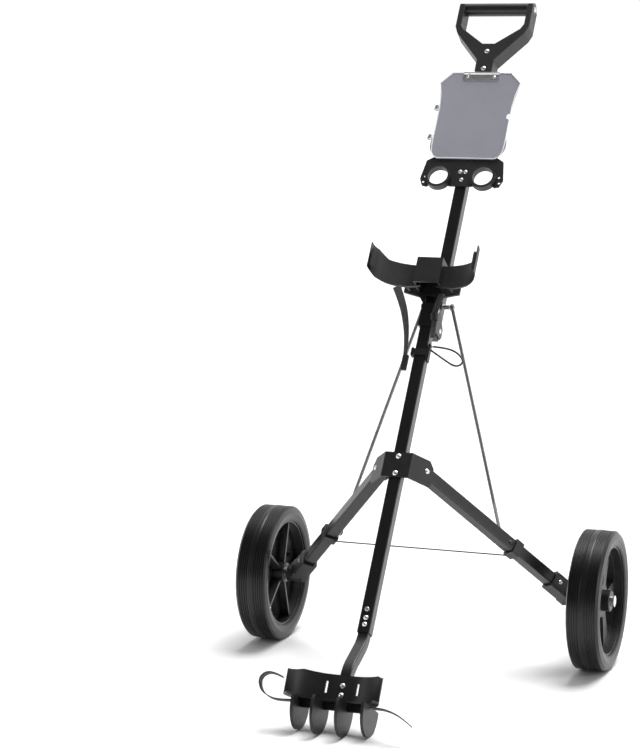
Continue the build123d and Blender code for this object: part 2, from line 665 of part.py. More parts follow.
def axle_block(side):
    """Moulded block on the leg's end that carries the fixed axle."""
    frame = leg_frame(side)
    length = leg_length(side)
    sleeve = extrude(RectangleRounded(BLOCK_SIZE, BLOCK_SIZE, 4), 40)
    sleeve = Pos(0, 0, length - 56) * sleeve
    block = frame.location * sleeve
    centre = Vector(side * LEG_END_X, 0, WHEEL_D / 2)
    barrel = Pos(centre.X + side * 3, centre.Y, centre.Z) * Rot(0, 90, 0) * Cylinder(15, 30)
    neck = frame.location * bar(BLOCK_SIZE, BLOCK_SIZE, 18, 0, 0, length - 10)
    block = block + neck + barrel
    socket = extrude(RectangleRounded(TUBE + 0.1, TUBE + 0.1, TUBE_R), 64.1)
    bore = frame.location * (Pos(0, 0, length - 80) * socket)
    block -= bore
    block -= Pos(centre.X, centre.Y, centre.Z) * Rot(0, 90, 0) * Cylinder(AXLE_D / 2 + 0.05, 200)
    block -= frame.location * (Pos(0, 0, length - 42) * Rot(0, 90, 0) * Cylinder(RIVET_HOLE, 80))
    return block


def block_rivet(side):
    length = leg_length(side)
    half = BLOCK_SIZE / 2
    pin = Pos(half, 0, length - 42) * Rot(0, 90, 0) * rivet(2 * half, head=8.5)
    return leg_frame(side).location * pin


HUB_HALF = 25.0
WASHER_T = 1.5


def axle(side):
    """Fixed axle with its outer cap nut and inner shoulder washer."""
    inner = LEG_END_X - 14
    outer = TRACK / 2 + HUB_HALF + GAP
    rod = Rot(0, 90, 0) * Cylinder(AXLE_D / 2, outer - inner)
    rod = Pos(side * (inner + outer) / 2, 0, WHEEL_D / 2) * rod
    nut = Pos(side * (outer + 3), 0, WHEEL_D / 2) * Rot(0, 90, 0) * Cylinder(10, 6)
    washer_at = TRACK / 2 - HUB_HALF - GAP - WASHER_T / 2
    washer = Pos(side * washer_at, 0, WHEEL_D / 2) * Rot(0, 90, 0) * Cylinder(11, WASHER_T)
    return rod + nut + washer


def rod_points(side):
    """Upper and lower eye centres of one brace rod; the lower eye sits behind the leg."""
    upper = world(side * ROD_X, HANDLE_B, PIVOT_S + ROD_UP)
    eye_x = side * (TUBE / 2 + GAP + ROD_EYE_T / 2)
    lower = leg_frame(side).from_local_coords(Vector(eye_x, 0, ROD_ALONG))
    return upper, lower


def rod_pin_axis(side):
    """Direction of the rod's lower pin, towards the rear: square to the rod both open and folded."""
    upper, lower = rod_points(side)
    frame = leg_frame(side)
    pivot = world(0, HANDLE_B, PIVOT_S)
    folded = pivot + (upper - pivot).rotate(Axis((0, 0, 0), (-1, 0, 0)), HANDLE_FOLD)
    in_leg = frame.origin + (folded - frame.origin).rotate(Axis((0, 0, 0), frame.x_dir), -LEG_FOLD)
    axis = (upper - lower).cross(in_leg - lower).normalized()
    return axis if axis.dot(frame.x_dir) * side > 0 else axis * -1


def rod_lug(side):
    """Shouldered pin through the leg for the brace rod's lower eye, headed at both ends."""
    pin = facing(rod_points(side)[1], rod_pin_axis(side))
    behind = ROD_EYE_T / 2 + GAP
    ahead = behind + TUBE + HEAD_CLEAR
    shank = Pos(0, 0, (behind - ahead) / 2) * Cylinder(ROD_PIN_R, ahead + behind)
    rear = Pos(0, 0, behind + 0.8) * Cylinder(5.0, 1.6)
    front = Pos(0, 0, -ahead) * Rot(180, 0, 0) * rivet(2, both=False)
    return pin * (shank + rear + front)


def cable_clamp(side):
    """Collar round the leg that holds the cross cable's end."""
    size = TUBE + 7
    collar = Pos(0, 0, CABLE_ALONG - 8) * extrude(
        RectangleRounded(size, size, 4) - RectangleRounded(TUBE + 0.1, TUBE + 0.1, TUBE_R), 16)
    return leg_frame(side).location * collar


def spreader_cable():
    """Cross cable between the legs' collars, pulled straight when the legs are open."""
    reach = TUBE / 2 + 3.5
    left = leg_frame(-1).from_local_coords(Vector(0, -reach, CABLE_ALONG))
    right = leg_frame(1).from_local_coords(Vector(0, -reach, CABLE_ALONG))
    along = (right - left).normalized()
    span = (right - left).length - 2 * CABLE_CLEAR
    return facing((left + right) * 0.5, along) * Cylinder(CABLE_D / 2, span)


# ---------------------------------------------------------------- brace rods
def brace_rod(side):
    upper, lower = rod_points(side)
    along = (lower - upper).normalized()
    length = (lower - upper).length
    shaft = facing((upper + lower) * 0.5, along) * Cylinder(ROD_D / 2, length - ROD_EYE_D * 0.7)
    top_eye = Pos(upper.X, upper.Y, upper.Z) * Rot(0, 90, 0) * Cylinder(ROD_EYE_D / 2, ROD_EYE_T)
    head_at = Pos(upper.X + side * (ROD_EYE_T / 2 + 0.8), upper.Y, upper.Z)
    top_head = head_at * Rot(0, 90, 0) * Cylinder(4.5, 1.6)
    axis = rod_pin_axis(side)
    hole = Cylinder(ROD_PIN_R + EYE_CLEAR, 3 * ROD_EYE_T)
    low_eye = facing(lower, axis) * (Cylinder(ROD_EYE_D / 2, ROD_EYE_T) - hole)
    leg_side = facing(lower - axis * (ROD_EYE_T / 2 + 10), axis) * Cylinder(75, 20)
    head_room = facing(lower, axis) * Cylinder(6.5, 30)
    return (shaft - head_room - leg_side) + top_eye + top_head + low_eye + eye_tongue(upper, lower, axis)


def eye_tongue(upper, lower, axis):
    """Flat tongue that joins the shaft's end to its lower eye, as thick as the eye."""
    flat = (upper - lower).normalized()
    return Plane(origin=lower, x_dir=flat, z_dir=axis).location * bar(10, 7, ROD_EYE_T, 10.5, 0, 0)


# ---------------------------------------------------------------- wheels
RIM_R = 98.0
RIM_HALF = 24.0
BUSH_R = 9.0
SPOKES = 5
WEB_T = 12.0


def wheel_centre(side):
    return Vector(side * TRACK / 2, 0, WHEEL_D / 2)


def on_wheel(side, shape):
    """Place a shape drawn with its axis on Z, outer face at +Z, on one wheel."""
    return facing(wheel_centre(side), Vector(side, 0, 0)) * shape


def window():
    """One rounded opening between two spokes."""
    r_in = 31.0
    r_out = RIM_R - 12
    corners = [(r_in * cos(radians(17)), -r_in * sin(radians(17))),
               (r_out * cos(radians(25)), -r_out * sin(radians(25))),
               (r_out * cos(radians(9)) + 1, -r_out * sin(radians(9))),
               (r_out * cos(radians(9)) + 1, r_out * sin(radians(9))),
               (r_out * cos(radians(25)), r_out * sin(radians(25))),
               (r_in * cos(radians(17)), r_in * sin(radians(17)))]
    face = make_face(Polyline(corners, close=True))
    return fillet(face.vertices(), 5.0)


def wheel_rim(side):
    barrel = Cylinder(RIM_R, 2 * RIM_HALF) - Cylinder(RIM_R - 4, 3 * RIM_HALF)
    web = Pos(0, 0, 4) * Cylinder(RIM_R - 2, WEB_T)
    hub = Cylinder(19, 2 * HUB_HALF)
    hub = chamfer(hub.edges().filter_by(GeomType.CIRCLE), 1.5)
    body = barrel + web
    for k in range(SPOKES):
        cut = Pos(0, 0, -WEB_T) * extrude(window(), 3 * WEB_T)
        body -= Rot(0, 0, 90 + 360 / SPOKES * k) * cut
    body += hub
    for k in range(SPOKES):
        rib = bar(RIM_R - 21, 5, 26, 18 + (RIM_R - 21) / 2, 0, -6)
        body += Rot(0, 0, 90 + 360 / SPOKES * (k + 0.5)) * rib
    body -= Cylinder(BUSH_R, 4 * HUB_HALF)
    return on_wheel(side, body)


def bush(side):
    ring = Cylinder(BUSH_R - 0.02, 2 * HUB_HALF) - Cylinder(AXLE_D / 2 + AXLE_CLEAR, 3 * HUB_HALF)
    return on_wheel(side, ring)


TREAD_GROOVE = 1.8
TREAD_DEPTH = 2.0
TREAD_PITCH = 4.3


def tyre(side):
    """Solid tyre whose tread has two groups of fine ribs either side of a plain band."""
    half = WHEEL_W / 2
    top = WHEEL_D / 2
    profile = [(RIM_R + 0.05, -RIM_HALF + 1), (RIM_R + 0.05, -RIM_HALF - 2), (RIM_R + 3, -half + 2),
               (top - 14, -half), (top - 5, -half + 1.5)]
    for start in (-half + 4.0, 5.0):
        for k in range(5):
            z = start + k * TREAD_PITCH
            profile += [(top - 0.6, z), (top - TREAD_DEPTH, z + 0.25),
                        (top - TREAD_DEPTH, z + TREAD_GROOVE - 0.25), (top - 0.6, z + TREAD_GROOVE)]
        if start < 0:
            profile += [(top, -4.0), (top, 3.5)]
    profile += [(top - 5, half - 1.5), (top - 14, half), (RIM_R + 3, half - 2), (RIM_R + 0.05, RIM_HALF + 2),
                (RIM_R + 0.05, RIM_HALF - 1)]
    face = make_face(Polyline([Vector(r, 0, z) for r, z in profile], close=True))
    return on_wheel(side, revolve(face, Axis.Z))


# ---------------------------------------------------------------- straps and cords
STRAP_LEFT_D = 6.0
STRAP_RIGHT_D = 8.0
BUNGEE_D = 3.5
BASE_STRAP_D = 6.0
# routes as hand-chosen points in the mast frame (x, b, s)
STRAP_LEFT = [(-56, -46, 335.5), (-38, -44, 302), (-28, -36, 268), (-23, -29, 238), (-22, -24, 212)]
STRAP_RIGHT = [(22, -20.3, 338), (15, -23, 304), (18.6, -19, 276), (18, -15, 252)]
BUNGEE = [(18, -4, 240), (38, 2, 242), (62, 4, 236), (80, 2, 216), (68, -2, 202), (44, -8, 214),
          (18, -10, 230)]
# and in the base bracket's frame (x, f, u)
BASE_STRAP_LEFT = [(-84, -64, 26), (-104, -70, 34), (-122, -70, 22), (-120, -60, 2), (-102, -50, -8),
                   (-80, -42, -6), (-64, -40, -4)]
BASE_STRAP_RIGHT = [(64, -40, -4), (84, -48, -5), (104, -56, -10), (124, -60, -18), (142, -58, -30)]


def cord(points, diameter, to_world):
    """Round cord along straight runs joined by arcs as large as the runs allow; prints its radii."""
    path = [to_world(Vector(*p)) for p in points]
    radii = []
    for a, b, c in zip(path, path[1:], path[2:]):
        turn = radians((b - a).get_angle(c - b))
        radii.append(0.45 * min((b - a).length, (c - b).length) / tan(turn / 2))
    line = FilletPolyline(*path, radius=radii)
    profile = Plane(origin=line @ 0, z_dir=line % 0) * Circle(diameter / 2)
    solid = sweep(profile, path=line)
    section = pi * diameter ** 2 / 4
    print("cord length", round(line.length, 1), "radii", [round(r, 1) for r in radii],
          "volume / section * length", round(solid.volume / (section * line.length), 4))
    return solid


def mast_cord(points, diameter):
    return cord(points, diameter, MAST.from_local_coords)


def foot_cord(points, diameter):
    return cord(points, diameter, FOOT.from_local_coords)


def bungee_hook():
    """Wire hook on the mast's front that holds both ends of the bungee."""
    plate = bar(34, 1.6, 12, 0, -TUBE / 2 - 0.3 - 0.8, 225)
    ears = bar(4, 10, 34, 17 - 2.3, -TUBE / 2 + 4, 225) + bar(4, 10, 16, -17 + 2.3, -TUBE / 2 + 4, 225)
    return at_mast(plate + ears)


def strap_buckle():
    """Slider on the left strap's free end."""
    x, b, s = STRAP_LEFT[-1]
    block = bar(11, 6, 30, x + 1.5, b + 1.5, s - 15.4)
    return at_mast(fillet(block.edges(), 1.5))


def strap_ring():
    """Cord lock that slides on the right strap."""
    upper, lower = (MAST.from_local_coords(Vector(*p)) for p in STRAP_RIGHT[1:3])
    sleeve = Cylinder(STRAP_RIGHT_D / 2 + 3, 12) - Cylinder(STRAP_RIGHT_D / 2 + 0.5, 30)
    return facing((upper + lower) * 0.5, lower - upper) * sleeve


# ---------------------------------------------------------------- write the pieces
SIDES = (("left", -1), ("right", 1))
parts = {
    "main_tube": main_tube(),
    "main_tube_cap": at_mast(Pos(0, 0, MAST_TOP) * tube_plug(TUBE, TUBE_WALL)),
    "lower_tube": lower_tube(),
    "lower_tube_plug": lower_tube_plug(),
    "mast_rivets": mast_rivets(),
    "snap_button": snap_button(),
    "button_spring": button_spring(),
    "hub_bracket_front": hub_front(),
    "hinge_bracket": hinge_bracket(),
    "handle_pivot_pin": handle_pivot_pin(),
    "cradle": cradle(),
    "cradle_pads": Compound([cradle_pad(-1), cradle_pad(1)]),
    "base_bracket": base_bracket(),
    "base_fins": base_fins(),
    "base_rivets": base_rivets(),
    "leg_pivot_rivets": Compound([leg_pivot_rivet(-1), leg_pivot_rivet(1)]),
    "spreader_cable": spreader_cable(),
    "handle_tube": handle_tube(),
    "handle_tube_cap": at_mast(Pos(0, HANDLE_B, HANDLE_LOW) * Rot(180, 0, 0) * tube_plug(TUBE, TUBE_WALL, 8)),
    "d_handle": d_handle(),
    "handle_grip": handle_grip(),
    "grip_bolt": grip_bolt(),
    "stem_rivets": stem_rivets(),
    "handle_rod_pin": at_mast(handle_rod_bosses()),
    "console_tray": console_tray(),
    "console_rivets": console_rivets(),
    "score_board": score_board(),
    "board_clip": board_clip(),
    "clip_rivets": clip_rivets(),
    "pencil_clips": pencil_clips(),
    "strap_left": mast_cord(STRAP_LEFT, STRAP_LEFT_D),
    "strap_right": mast_cord(STRAP_RIGHT, STRAP_RIGHT_D),
    "bungee": mast_cord(BUNGEE, BUNGEE_D),
    "base_strap_left": foot_cord(BASE_STRAP_LEFT, BASE_STRAP_D),
    "base_strap_right": foot_cord(BASE_STRAP_RIGHT, BASE_STRAP_D),
    "bungee_hook": bungee_hook(),
    "strap_buckle": strap_buckle(),
    "strap_ring": strap_ring(),
}
CORD_NODES = ("strap_left", "strap_right", "bungee", "base_strap_left", "base_strap_right", "bungee_hook",
              "strap_buckle", "strap_ring")
for name, side in SIDES:
    parts["hub_bracket_rear_" + name] = hub_rear(side)
    parts["leg_tube_" + name] = leg_tube(side)
    parts["axle_block_" + name] = axle_block(side)
    parts["block_rivet_" + name] = block_rivet(side)
    parts["axle_" + name] = axle(side)
    parts["rod_lug_" + name] = rod_lug(side)
    parts["cable_clamp_" + name] = cable_clamp(side)
    parts["brace_rod_" + name] = brace_rod(side)
    parts["wheel_rim_" + name] = wheel_rim(side)
    parts["wheel_bush_" + name] = bush(side)
    parts["tyre_" + name] = tyre(side)

# the origin is under the middle of the cart's box, on the ground
solid_parts = Compound([p for name, p in parts.items() if name not in CORD_NODES])
box = solid_parts.bounding_box()
SHIFT = Vector(-(box.min.X + box.max.X) / 2, -(box.min.Y + box.max.Y) / 2, -box.min.Z)
print("shift", SHIFT, "size", box.size)

if __name__ == "__main__":
    os.makedirs("parts", exist_ok=True)
    for name, shape in parts.items():
        solids = shape.solids()
        whole = solids[0] if len(solids) == 1 else Compound(solids)
        export_step(Pos(SHIFT) * whole, "parts/" + name + ".step")
    print(len(parts), "nodes")
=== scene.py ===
import bpy
import bmesh
import json
from math import sin, cos, radians, pi
from mathutils import Vector, Matrix


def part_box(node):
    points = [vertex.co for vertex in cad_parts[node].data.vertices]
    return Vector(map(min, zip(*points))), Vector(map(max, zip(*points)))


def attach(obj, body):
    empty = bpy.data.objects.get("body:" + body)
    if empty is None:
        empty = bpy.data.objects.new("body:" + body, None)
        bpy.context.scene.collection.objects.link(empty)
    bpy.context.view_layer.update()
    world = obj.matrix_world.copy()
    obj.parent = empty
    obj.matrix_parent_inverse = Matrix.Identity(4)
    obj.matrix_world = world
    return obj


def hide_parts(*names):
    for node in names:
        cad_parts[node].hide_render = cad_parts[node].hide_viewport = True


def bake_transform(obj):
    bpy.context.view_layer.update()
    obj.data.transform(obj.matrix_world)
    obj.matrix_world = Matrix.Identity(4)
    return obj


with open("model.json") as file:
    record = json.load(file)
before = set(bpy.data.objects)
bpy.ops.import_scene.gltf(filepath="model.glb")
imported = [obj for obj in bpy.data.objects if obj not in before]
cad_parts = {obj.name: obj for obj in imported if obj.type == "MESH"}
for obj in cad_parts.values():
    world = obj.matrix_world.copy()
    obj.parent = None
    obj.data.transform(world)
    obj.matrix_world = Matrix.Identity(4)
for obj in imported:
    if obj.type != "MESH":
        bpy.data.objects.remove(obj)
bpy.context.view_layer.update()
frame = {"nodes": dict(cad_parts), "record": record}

# ---------------------------------------------------------------- places shared with the CAD part, in metres
LEAN = radians(55.0)           # mast's angle from the ground
HUB_FORWARD = 0.1975           # leg hub in front of the axle
HUB_HEIGHT = 0.375
AXLE_Y = sum(corner[1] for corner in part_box("tyre_left")) / 2
HUB = Vector((0.0, AXLE_Y - HUB_FORWARD, HUB_HEIGHT))
UP = Vector((0.0, cos(LEAN), sin(LEAN)))
BACK = Vector((0.0, sin(LEAN), -cos(LEAN)))
RIGHT = Vector((1.0, 0.0, 0.0))


def mast(x, b, s):
    """Point of the mast frame: across, behind the mast, up the mast."""
    return HUB + RIGHT * x + BACK * b + UP * s


FOOT = mast(0.0, -0.040, -0.447)         # lower tube's end
BEND = mast(0.0, -0.045, -0.385)         # where the lower tube turns towards it
FOOT_UP = (BEND - FOOT).normalized()
FOOT_BACK = FOOT_UP.cross(RIGHT)


def foot(x, f, u):
    """Point of the base's frame: across, behind the lower tube, up it."""
    return FOOT + RIGHT * x + FOOT_BACK * f + FOOT_UP * u


# ---------------------------------------------------------------- camera
EYE = Vector((1.1963, AXLE_Y - 3.799, 1.1084))
LOOK_AT = Vector((-0.2178, AXLE_Y, 0.5039))
cam_data = bpy.data.cameras.new("camera")
cam_data.lens = 107.4
cam_data.sensor_fit = "HORIZONTAL"
cam_data.sensor_width = 36.0 * 640 / 748     # 36 mm over the picture's height
cam = bpy.data.objects.new("camera", cam_data)
bpy.context.scene.collection.objects.link(cam)
cam.location = EYE
cam.rotation_euler = (LOOK_AT - EYE).to_track_quat("-Z", "Y").to_euler()
bpy.context.scene.camera = cam


# ---------------------------------------------------------------- materials
def new_material(name, colour, rough, metallic=0.0, coat=0.0, coat_rough=0.1, ior=1.5, sheen=0.0):
    m = bpy.data.materials.new(name)
    m.use_nodes = True
    shader = m.node_tree.nodes["Principled BSDF"]
    shader.inputs["Base Color"].default_value = (*colour, 1.0)
    shader.inputs["Roughness"].default_value = rough
    shader.inputs["Metallic"].default_value = metallic
    shader.inputs["Coat Weight"].default_value = coat
    shader.inputs["Coat Roughness"].default_value = coat_rough
    shader.inputs["IOR"].default_value = ior
    shader.inputs["Sheen Weight"].default_value = sheen
    return m


def add_node(m, kind, **settings):
    node = m.node_tree.nodes.new(kind)
    for key, value in settings.items():
        node.inputs[key].default_value = value
    return node


def coords(m, which="Object"):
    return m.node_tree.nodes.new("ShaderNodeTexCoord").outputs[which]


def grain(m, layers):
    """Bump from layered noise: each layer is scale, strength and depth in metres."""
    links = m.node_tree.links
    place = coords(m)
    last = None
    for scale, strength, depth in layers:
        noise = add_node(m, "ShaderNodeTexNoise", Scale=scale, Detail=4.0, Roughness=0.6)
        links.new(place, noise.inputs["Vector"])
        bump = add_node(m, "ShaderNodeBump", Strength=strength, Distance=depth)
        links.new(noise.outputs["Fac"], bump.inputs["Height"])
        if last is not None:
            links.new(last.outputs["Normal"], bump.inputs["Normal"])
        last = bump
    links.new(last.outputs["Normal"], m.node_tree.nodes["Principled BSDF"].inputs["Normal"])


def mottle(m, low, high, scale):
    """Slow variation of colour between two tones."""
    links = m.node_tree.links
    noise = add_node(m, "ShaderNodeTexNoise", Scale=scale, Detail=5.0, Roughness=0.65)
    links.new(coords(m), noise.inputs["Vector"])
    ramp = m.node_tree.nodes.new("ShaderNodeValToRGB")
    ramp.color_ramp.elements[0].position = 0.3
    ramp.color_ramp.elements[1].position = 0.7
    ramp.color_ramp.elements[0].color = (*low, 1.0)
    ramp.color_ramp.elements[1].color = (*high, 1.0)
    links.new(noise.outputs["Fac"], ramp.inputs["Fac"])
    links.new(ramp.outputs["Color"], m.node_tree.nodes["Principled BSDF"].inputs["Base Color"])


def wear(m, low, high, scale):
    """Roughness that varies over the surface, as handled paint and plastic do."""
    links = m.node_tree.links
    noise = add_node(m, "ShaderNodeTexNoise", Scale=scale, Detail=6.0, Roughness=0.7)
    links.new(coords(m), noise.inputs["Vector"])
    span = add_node(m, "ShaderNodeMapRange", **{"To Min": low, "To Max": high})
    links.new(noise.outputs["Fac"], span.inputs["Value"])
    links.new(span.outputs["Result"], m.node_tree.nodes["Principled BSDF"].inputs["Roughness"])


def powder_coat():
    m = new_material("powder_coat", (0.004, 0.004, 0.005), 0.3, coat=0.22, coat_rough=0.14, ior=1.46)
    mottle(m, (0.003, 0.003, 0.004), (0.007, 0.007, 0.008), 9.0)
    wear(m, 0.26, 0.38, 30.0)
    grain(m, ((900.0, 0.05, 0.0004), (220.0, 0.04, 0.0008)))
    return m


def satin_steel():
    m = new_material("satin_black_steel", (0.006, 0.006, 0.007), 0.4, coat=0.1, coat_rough=0.3, ior=1.45)
    mottle(m, (0.005, 0.005, 0.006), (0.012, 0.012, 0.013), 24.0)
    wear(m, 0.34, 0.5, 60.0)
    grain(m, ((1400.0, 0.10, 0.0003), (260.0, 0.05, 0.0006)))
    return m


def moulded(name, tone, rough, strength):
    m = new_material(name, (tone, tone, tone * 1.05), rough, ior=1.5)
    mottle(m, (tone * 0.75,) * 3, (tone * 1.35,) * 3, 18.0)
    wear(m, rough - 0.06, rough + 0.1, 45.0)
    grain(m, ((1800.0, strength, 0.0003), (320.0, strength * 0.6, 0.0005)))
    return m


def tyre_rubber():
    m = new_material("tyre_rubber", (0.005, 0.005, 0.005), 0.36, ior=1.42)
    mottle(m, (0.004, 0.004, 0.004), (0.010, 0.010, 0.010), 14.0)
    wear(m, 0.24, 0.42, 26.0)
    grain(m, ((1100.0, 0.16, 0.0005), (150.0, 0.08, 0.001)))
    return m


def soft_rubber():
    m = new_material("grip_rubber", (0.010, 0.010, 0.011), 0.38, coat=0.15, coat_rough=0.35)
    wear(m, 0.32, 0.46, 50.0)
    grain(m, ((1500.0, 0.14, 0.0003),))
    return m


def zinc():
    m = new_material("zinc_rivet", (0.80, 0.80, 0.81), 0.3, metallic=1.0)
    mottle(m, (0.66, 0.66, 0.67), (0.9, 0.9, 0.9), 300.0)
    wear(m, 0.2, 0.42, 500.0)
    grain(m, ((2500.0, 0.12, 0.0002),))
    return m


def frosted():
    """Frosted clear cover over a card: lavender grey and even."""
    m = new_material("frosted_cover", (0.33, 0.33, 0.385), 0.32, coat=0.25, coat_rough=0.2, ior=1.49)
    mottle(m, (0.315, 0.315, 0.365), (0.35, 0.35, 0.405), 7.0)
    wear(m, 0.3, 0.4, 18.0)
    grain(m, ((700.0, 0.06, 0.0003),))
    return m


# painted highlight: this white colour stands in for the light caught along the clear cover's edge
def painted_edge_highlight():
    m = new_material("painted_edge_highlight", (0.93, 0.93, 0.95), 0.2, coat=0.6, coat_rough=0.08)
    mottle(m, (0.84, 0.84, 0.88), (0.97, 0.97, 0.98), 60.0)
    grain(m, ((400.0, 0.05, 0.0003),))
    return m


def red_plastic():
    m = new_material("red_plastic", (0.5, 0.016, 0.014), 0.3, coat=0.3)
    mottle(m, (0.42, 0.012, 0.010), (0.58, 0.02, 0.018), 60.0)
    grain(m, ((900.0, 0.06, 0.0003),))
    return m


def webbing():
    """Woven strap: ribs across and fine warp along, in the strip's own coordinates."""
    m = new_material("webbing", (0.012, 0.012, 0.013), 0.75, sheen=0.35)
    links = m.node_tree.links
    uv = coords(m, "UV")
    across = add_node(m, "ShaderNodeTexWave", Scale=160.0, Distortion=0.6, Detail=1.0)
    across.bands_direction = "X"
    along = add_node(m, "ShaderNodeTexWave", Scale=220.0, Distortion=0.4, Detail=1.0)
    along.bands_direction = "Y"
    height = m.node_tree.nodes.new("ShaderNodeMath")
    height.operation = "MULTIPLY"
    for wave, socket in ((across, 0), (along, 1)):
        links.new(uv, wave.inputs["Vector"])
        links.new(wave.outputs["Fac"], height.inputs[socket])
    bump = add_node(m, "ShaderNodeBump", Strength=0.8, Distance=0.0006)
    links.new(height.outputs["Value"], bump.inputs["Height"])
    links.new(bump.outputs["Normal"], m.node_tree.nodes["Principled BSDF"].inputs["Normal"])
    # painted shade: colour follows the weave's height, darker in the hollows between the ribs and lighter on their
    # tops
    tone = m.node_tree.nodes.new("ShaderNodeValToRGB")
    tone.color_ramp.elements[0].color = (0.006, 0.006, 0.007, 1.0)
    tone.color_ramp.elements[1].color = (0.024, 0.024, 0.026, 1.0)
    links.new(height.outputs["Value"], tone.inputs["Fac"])
    links.new(tone.outputs["Color"], m.node_tree.nodes["Principled BSDF"].inputs["Base Color"])
    return m


def elastic():
    """Braided elastic cord."""
    m = new_material("elastic", (0.016, 0.016, 0.017), 0.7, sheen=0.4)
    links = m.node_tree.links
    wave = add_node(m, "ShaderNodeTexWave", Scale=260.0, Distortion=2.0, Detail=2.0)
    wave.bands_direction = "DIAGONAL"
    links.new(coords(m), wave.inputs["Vector"])
    bump = add_node(m, "ShaderNodeBump", Strength=0.6, Distance=0.0004)
    links.new(wave.outputs["Fac"], bump.inputs["Height"])
    links.new(bump.outputs["Normal"], m.node_tree.nodes["Principled BSDF"].inputs["Normal"])
    return m


def cable_coat():
    m = new_material("cable_coat", (0.02, 0.02, 0.021), 0.4, coat=0.3, coat_rough=0.2)
    links = m.node_tree.links
    wave = add_node(m, "ShaderNodeTexWave", Scale=180.0, Distortion=0.4)
    wave.bands_direction = "DIAGONAL"
    links.new(coords(m), wave.inputs["Vector"])
    bump = add_node(m, "ShaderNodeBump", Strength=0.4, Distance=0.0004)
    links.new(wave.outputs["Fac"], bump.inputs["Height"])
    links.new(bump.outputs["Normal"], m.node_tree.nodes["Principled BSDF"].inputs["Normal"])
    return m


def plated():
    m = new_material("plated_clip", (0.86, 0.86, 0.88), 0.16, metallic=0.9)
    wear(m, 0.12, 0.26, 200.0)
    grain(m, ((1200.0, 0.05, 0.0002),))
    return m


FINISH = {
    "black_tube": powder_coat(),
    "black_bracket": satin_steel(),
    "rivet_steel": zinc(),
    "black_plastic": moulded("moulded_black", 0.010, 0.42, 0.14),
    "rim_plastic": moulded("rim_black", 0.012, 0.36, 0.10),
    "tyre_rubber": tyre_rubber(),
    "grip_rubber": soft_rubber(),
    "clear_board": frosted(),
    "red_plastic": red_plastic(),
    "webbing": webbing(),
    "elastic": elastic(),
    "cable_steel": cable_coat(),
    "spring_steel": plated(),
    "bright_clip": plated(),
    "pad_foam": moulded("pad_foam", 0.014, 0.7, 0.5),
}
ROD = new_material("rod_paint", (0.22, 0.22, 0.224), 0.36, metallic=0.8, coat=0.3, coat_rough=0.2)
grain(ROD, ((1600.0, 0.30, 0.0004), (420.0, 0.12, 0.0006)))

for row in frame["record"]["subparts"]:
    node = frame["nodes"][row["node"]]
    mats = node.data.materials
    if not mats:
        mats.append(None)
    for k in range(len(mats)):
        mats[k] = FINISH[row["material_slot"]]
for name in ("brace_rod_left", "brace_rod_right"):
    frame["nodes"][name].data.materials[0] = ROD
frame["nodes"]["bungee_hook"].data.materials[0] = FINISH["black_bracket"]


# ---------------------------------------------------------------- cords, straps and the elastic loop
def route(name, points):
    """Smooth NURBS line with the route's points as its control points."""
    data = bpy.data.curves.new(name, "CURVE")
    data.dimensions = "3D"
    spline = data.splines.new("NURBS")
    spline.points.add(len(points) - 1)
    for control, p in zip(spline.points, points):
        control.co = (*p, 1.0)
    spline.order_u = 3
    spline.use_endpoint_u = True
    spline.resolution_u = 16
    obj = bpy.data.objects.new(name, data)
    bpy.context.scene.collection.objects.link(obj)
    return obj


def read_line(obj):
    """The route's own line, as points."""
    bpy.context.view_layer.update()
    mesh = bpy.data.meshes.new_from_object(obj.evaluated_get(bpy.context.evaluated_depsgraph_get()))
    line = [v.co.copy() for v in mesh.vertices]
    bpy.data.meshes.remove(mesh)
    return line


def add_mesh(name, bm, finish):
    mesh = bpy.data.meshes.new(name)
    bm.to_mesh(mesh)
    bm.free()
    obj = bpy.data.objects.new(name, mesh)
    bpy.context.scene.collection.objects.link(obj)
    obj.data.materials.append(finish)
    for face in mesh.polygons:
        face.use_smooth = True
    return obj


STRAP_THICK = 0.0018
WEAVE_SCALE = 10               # weave coordinates per metre of strap
# section of a strap, in half widths and half thicknesses: flat faces with softened edges
STRAP_SECTION = ((-1, -0.55), (-0.94, -1), (0.94, -1), (1, -0.55), (1, 0.55), (0.94, 1), (-0.94, 1), (-1, 0.55))


def ribbon(name, line, widths, side):
    """Webbing along a line: its width at each end, and the way its edge points."""
    bm = bmesh.new()
    layer = bm.loops.layers.uv.new("weave")
    rings = []
    run = 0.0
    count = len(line)
    for k, p in enumerate(line):
        ahead = line[min(k + 1, count - 1)]
        behind = line[max(k - 1, 0)]
        along = (ahead - behind).normalized()
        across = (side - along * side.dot(along)).normalized()
        normal = along.cross(across)
        if k:
            run += (p - line[k - 1]).length
        share = k / (count - 1)
        half = (widths[0] * (1 - share) + widths[1] * share) / 2
        ring = []
        for u, v in STRAP_SECTION:
            vert = bm.verts.new(p + across * (u * half) + normal * (v * STRAP_THICK / 2))
            ring.append((vert, u * half, run))
        rings.append(ring)
    n = len(rings[0])
    for a, b in zip(rings, rings[1:]):
        for k in range(n):
            corners = (a[k], a[(k + 1) % n], b[(k + 1) % n], b[k])
            face = bm.faces.new([c[0] for c in corners])
            for loop, corner in zip(face.loops, corners):
                loop[layer].uv = (corner[2] * WEAVE_SCALE, corner[1] * WEAVE_SCALE)
    bm.faces.new([c[0] for c in reversed(rings[0])])
    bm.faces.new([c[0] for c in rings[-1]])
    bmesh.ops.recalc_face_normals(bm, faces=bm.faces)
    return add_mesh(name, bm, FINISH["webbing"])


def strap(name, points, widths, side):
    """A webbing strap in place of its CAD tube."""
    guide = route(name + "_line", points)
    line = read_line(guide)
    bpy.data.objects.remove(guide)
    obj = ribbon(name + "_webbing", line, widths, side)
    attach(obj, "frame")
    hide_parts(name)


